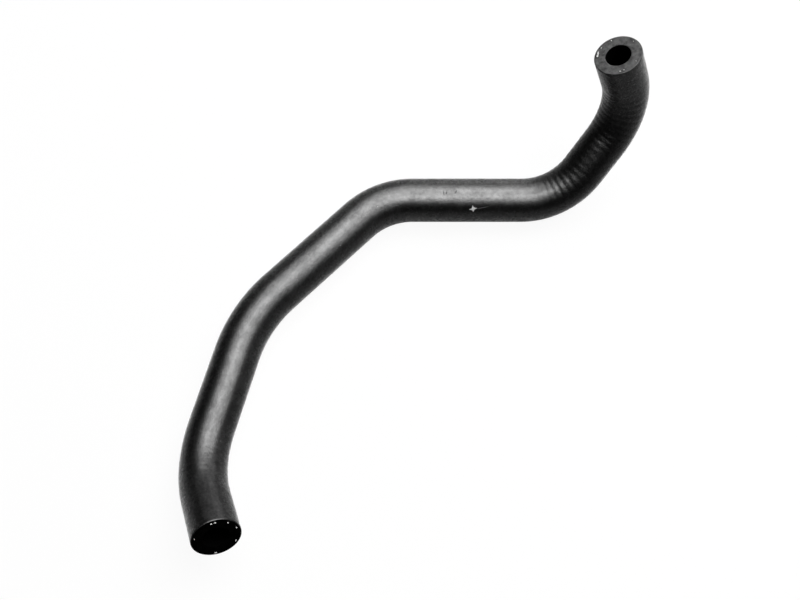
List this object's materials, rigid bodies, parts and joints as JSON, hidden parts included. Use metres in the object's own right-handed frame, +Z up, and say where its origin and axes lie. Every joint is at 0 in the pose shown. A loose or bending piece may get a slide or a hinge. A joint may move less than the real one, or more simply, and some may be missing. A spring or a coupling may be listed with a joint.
{
  "type": "moulded oil cooler hose",
  "caption": "Black moulded rubber hose with a thick wall, bent to a fixed route, three legs lying flat and both ends rising, cut square at each open end.",
  "frame": {"origin": "on the floor under the middle of the hose's outer box, as it lies at rest", "axes": "+X along the straight upper leg, from the inlet side to the outlet side; +Z up from the floor; +Y completes the right-handed frame, and the outlet end lies at high Y"},
  "size_m": [0.2396, 0.246, 0.0939],
  "materials": {
    "hose_rubber": "dull black moulded rubber, fine fabric grain, faint ribs on the inside of the tight bends",
    "reinforcement_yarn": "off-white frayed yarn ends, seen only in the cut faces"
  },
  "bodies": {
    "root": {"hose": "hose_rubber"}
  },
  "joints": []
}
